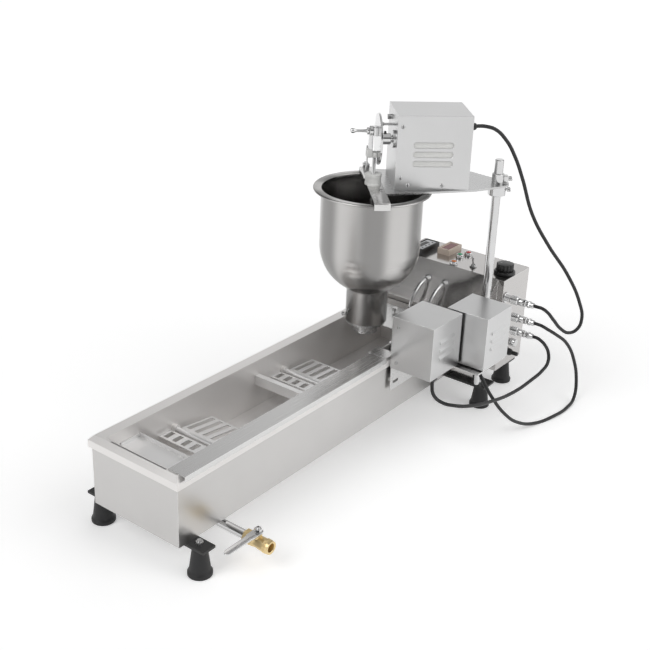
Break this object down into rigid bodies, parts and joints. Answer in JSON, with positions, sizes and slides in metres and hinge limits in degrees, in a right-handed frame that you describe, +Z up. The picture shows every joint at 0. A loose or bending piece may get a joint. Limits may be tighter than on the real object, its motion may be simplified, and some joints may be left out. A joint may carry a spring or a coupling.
{
  "type": "automatic donut machine",
  "caption": "Countertop fryer with an oil trough, two driven flippers, a hopper with a crank-driven plunger on a swinging arm, drive boxes, an electric control head and a ball-valve drain.",
  "frame": {"origin": "on the floor below the middle of the machine's footprint, cables left out", "axes": "+X along the trough towards the control head, +Z up, the near long side with the drive boxes at -Y"},
  "size_m": [1.0415, 0.4799, 0.6641],
  "materials": {
    "stainless": "brushed stainless sheet",
    "dark_steel": "plain steel",
    "bright": "polished",
    "rubber": "matt black",
    "black_plastic": "satin black",
    "nylon": "white nylon",
    "brass": "bright brass",
    "lamp": "clear coloured lens in a bright bezel",
    "pale_plastic": "pale case"
  },
  "bodies": {
    "base": {"casing": "stainless", "oil_tank": "stainless", "channel_divider": "stainless", "fixed_racks": "stainless", "bracket_a": "stainless", "bracket_b": "stainless", "motor_cover_a": "stainless", "motor_cover_b": "stainless", "gearmotor_a": "dark_steel", "gearmotor_b": "dark_steel", "crossbars": "black_plastic", "feet": "rubber", "base_fasteners": "dark_steel", "drain_pipe": "stainless", "valve_body": "brass", "post": "bright", "control_housing": "stainless", "control_base": "stainless", "heating_element": "bright", "heater_nuts": "bright", "lamps": "lamp", "panel_displays": "pale_plastic", "sockets": "bright", "plugs": "bright", "cord_glands": "black_plastic", "cable_1": "rubber", "cable_2": "rubber", "cable_3": "rubber"},
    "cover_strip": {"cover_strip": "stainless"},
    "discharge_tray": {"discharge_tray": "stainless"},
    "rear_cover": {"rear_cover": "stainless"},
    "flipper_1": {"flipper_1": "stainless"},
    "flipper_2": {"flipper_2": "stainless"},
    "crank_arm_1": {"crank_arm_1": "dark_steel"},
    "crank_arm_2": {"crank_arm_2": "dark_steel"},
    "pull_rod_1": {"pull_rod_1": "dark_steel"},
    "pull_rod_2": {"pull_rod_2": "dark_steel"},
    "valve_handle": {"valve_ball": "bright", "valve_lever": "bright"},
    "head": {"hopper": "stainless", "dough_mould": "nylon", "rod_guide": "nylon", "hopper_strap": "stainless", "arm_plate": "stainless", "head_sleeve": "bright", "head_cover": "stainless", "head_gearmotor": "dark_steel", "head_screws": "dark_steel", "head_gland": "black_plastic"},
    "mould_screw": {"mould_screw": "bright"},
    "sleeve_screw": {"sleeve_screw": "bright"},
    "collar": {"stop_collar": "bright"},
    "collar_screw": {"collar_screw": "bright"},
    "plunger": {"plunger": "bright", "clevis": "nylon"},
    "crank": {"crank_disc": "bright", "crank_handle": "bright"},
    "con_rod": {"con_rod": "bright"},
    "knob": {"knob": "black_plastic"},
    "toggle": {"toggle": "bright"}
  },
  "joints": [
    {"name": "cover_strip_lift", "type": "slide", "parent": "base", "child": "cover_strip", "axis": [0, 0, 1], "range_m": [0, 0.06]},
    {"name": "discharge_tray_lift", "type": "slide", "parent": "base", "child": "discharge_tray", "axis": [0, 0, 1], "range_m": [0, 0.06]},
    {"name": "rear_cover_lift", "type": "slide", "parent": "base", "child": "rear_cover", "axis": [0, 0, 1], "range_m": [0, 0.02]},
    {"name": "drive_1_turn", "type": "hinge", "parent": "base", "child": "crank_arm_1", "pos_m": [0.1115, -0.02625, 0.208], "axis": [0, -1, 0], "range_deg": [0, 95]},
    {"name": "drive_2_turn", "type": "hinge", "parent": "base", "child": "crank_arm_2", "pos_m": [0.2365, -0.03325, 0.208], "axis": [0, -1, 0], "range_deg": [0, 95]},
    {"name": "pull_rod_1_pivot", "type": "hinge", "parent": "crank_arm_1", "child": "pull_rod_1", "pos_m": [0.1115, -0.02625, 0.188], "axis": [0, -1, 0], "range_deg": [-95, 0]},
    {"name": "pull_rod_2_pivot", "type": "hinge", "parent": "crank_arm_2", "child": "pull_rod_2", "pos_m": [0.2365, -0.03325, 0.188], "axis": [0, -1, 0], "range_deg": [-95, 0]},
    {"name": "flipper_1_turn", "type": "hinge", "parent": "base", "child": "flipper_1", "pos_m": [-0.0345, 0.06025, 0.147], "axis": [0, -1, 0], "range_deg": [0, 95]},
    {"name": "flipper_2_turn", "type": "hinge", "parent": "base", "child": "flipper_2", "pos_m": [-0.3435, 0.06025, 0.147], "axis": [0, -1, 0], "range_deg": [0, 95]},
    {"name": "valve_turn", "type": "hinge", "parent": "base", "child": "valve_handle", "pos_m": [-0.4005, -0.11711, 0.047], "axis": [0, 0, 1], "range_deg": [0, 90]},
    {"name": "collar_slide", "type": "slide", "parent": "base", "child": "collar", "axis": [0, 0, 1], "range_m": [0, 0.02]},
    {"name": "head_swing", "type": "hinge", "parent": "collar", "child": "head", "pos_m": [0.32766, -0.11564, 0.512], "axis": [0, 0, 1], "range_deg": [-35, 8]},
    {"name": "collar_screw_turn", "type": "hinge", "parent": "collar", "child": "collar_screw", "pos_m": [0.32766, -0.11564, 0.5025], "axis": [0.682, -0.7314, 0], "range_deg": [-180, 180]},
    {"name": "sleeve_screw_turn", "type": "hinge", "parent": "head", "child": "sleeve_screw", "pos_m": [0.32766, -0.11564, 0.5255], "axis": [0.682, -0.7314, 0], "range_deg": [-180, 180]},
    {"name": "mould_screw_turn", "type": "hinge", "parent": "head", "child": "mould_screw", "pos_m": [0.10717, 0.0884, 0.24], "axis": [0.682, -0.7314, 0], "range_deg": [-180, 180]},
    {"name": "crank_spin", "type": "hinge", "parent": "head", "child": "crank", "pos_m": [0.14093, 0.0522, 0.611], "axis": [0.682, -0.7314, 0], "continuous": true},
    {"name": "con_rod_pivot", "type": "hinge", "parent": "crank", "child": "con_rod", "pos_m": [0.13104, 0.0628, 0.6265], "axis": [0.682, -0.7314, 0], "continuous": true},
    {"name": "plunger_slide", "type": "slide", "parent": "head", "child": "plunger", "axis": [0, 0, 1], "range_m": [-0.031, 0]},
    {"name": "knob_turn", "type": "hinge", "parent": "base", "child": "knob", "pos_m": [0.4485, -0.09075, 0.277], "axis": [0, 0, -1], "range_deg": [0, 270]},
    {"name": "toggle_flip", "type": "hinge", "parent": "base", "child": "toggle", "pos_m": [0.4325, -0.02075, 0.279], "axis": [0, 1, 0], "range_deg": [0, 24]}
  ],
  "couplings": [
    {"joint": "pull_rod_1_pivot", "follows": "drive_1_turn", "ratio": -1},
    {"joint": "flipper_1_turn", "follows": "drive_1_turn", "ratio": 1},
    {"joint": "pull_rod_2_pivot", "follows": "drive_2_turn", "ratio": -1},
    {"joint": "flipper_2_turn", "follows": "drive_2_turn", "ratio": 1},
    {"joint": "con_rod_pivot", "follows": "crank_spin", "ratio": -1}
  ]
}
